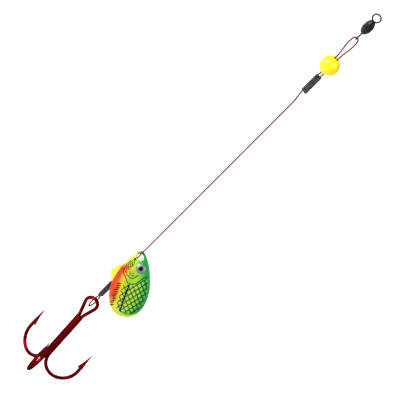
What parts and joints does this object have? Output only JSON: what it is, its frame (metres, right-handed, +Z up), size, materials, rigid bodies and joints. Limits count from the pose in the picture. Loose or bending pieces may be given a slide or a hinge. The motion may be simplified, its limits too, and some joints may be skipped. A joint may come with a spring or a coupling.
{
  "type": "inline spinner",
  "caption": "Inline spinner lure: barrel swivel, coated wire leader with crimp sleeves and beads, a cupped leaf blade that turns on the wire, and a treble hook.",
  "frame": {"origin": "centre of the swivel's line eye, from which the lure hangs", "axes": "+Z up the wire towards the line, +Y through the line eye, so that the blade's painted side faces -Y; +X to the right of someone who looks along +Y"},
  "size_m": [0.0202, 0.0186, 0.1494],
  "materials": {
    "swivel_barrel": "black nickel, glossy",
    "swivel_wire": "black nickel, glossy",
    "leader_coat": "red-brown nylon coat over stranded wire, satin",
    "leader_core": "bright stranded stainless wire",
    "sleeve": "dark oxidised, crimped",
    "bead": "glossy moulded",
    "blade": "polished, lacquered",
    "printed_foil": "glossy printed foil, orange to yellow to green, with a fish's head and scales",
    "hook": "translucent dark red lacquer over bright steel",
    "hook_braze": "the same red lacquer over brazing"
  },
  "bodies": {
    "swivel_top": {"line_eye": "swivel_wire"},
    "barrel": {"swivel_barrel": "swivel_barrel"},
    "swivel_bottom": {"leader_eye": "swivel_wire"},
    "leader": {"leader_jacket": "leader_coat", "leader_core": "leader_core", "upper_sleeve": "sleeve", "lower_sleeve": "sleeve"},
    "upper_bead": {"upper_bead": "bead"},
    "blade_bearing": {"lower_bead": "bead"},
    "blade": {"blade": "blade", "blade_foil": "printed_foil"},
    "treble": {"double_hook": "hook", "single_hook": "hook", "hook_braze": "hook_braze"}
  },
  "joints": [
    {"name": "barrel_spin", "type": "hinge", "parent": "swivel_top", "child": "barrel", "pos_m": [0, 0, -0.00375], "axis": [0, 0, 1], "continuous": true},
    {"name": "leader_eye_spin", "type": "hinge", "parent": "barrel", "child": "swivel_bottom", "pos_m": [0, 0, -0.00375], "axis": [0, 0, 1], "continuous": true},
    {"name": "leader_swing", "type": "hinge", "parent": "swivel_bottom", "child": "leader", "pos_m": [0, 0, -0.00875], "axis": [0, 1, 0], "range_deg": [-120, 120]},
    {"name": "upper_bead_slide", "type": "slide", "parent": "leader", "child": "upper_bead", "axis": [0, 0, 1], "range_m": [-0.0015, 0.0008]},
    {"name": "blade_spin", "type": "hinge", "parent": "leader", "child": "blade_bearing", "pos_m": [0, 0, -0.10953], "axis": [0, 0, 1], "continuous": true},
    {"name": "blade_flare", "type": "hinge", "parent": "blade_bearing", "child": "blade", "pos_m": [0.0004, 0, -0.10143], "axis": [-1, 0, 0], "range_deg": [0, 45]},
    {"name": "hook_swing", "type": "hinge", "parent": "leader", "child": "treble", "pos_m": [0, 0, -0.12303], "axis": [0.1045, 0.9945, 0], "range_deg": [-100, 100]}
  ]
}
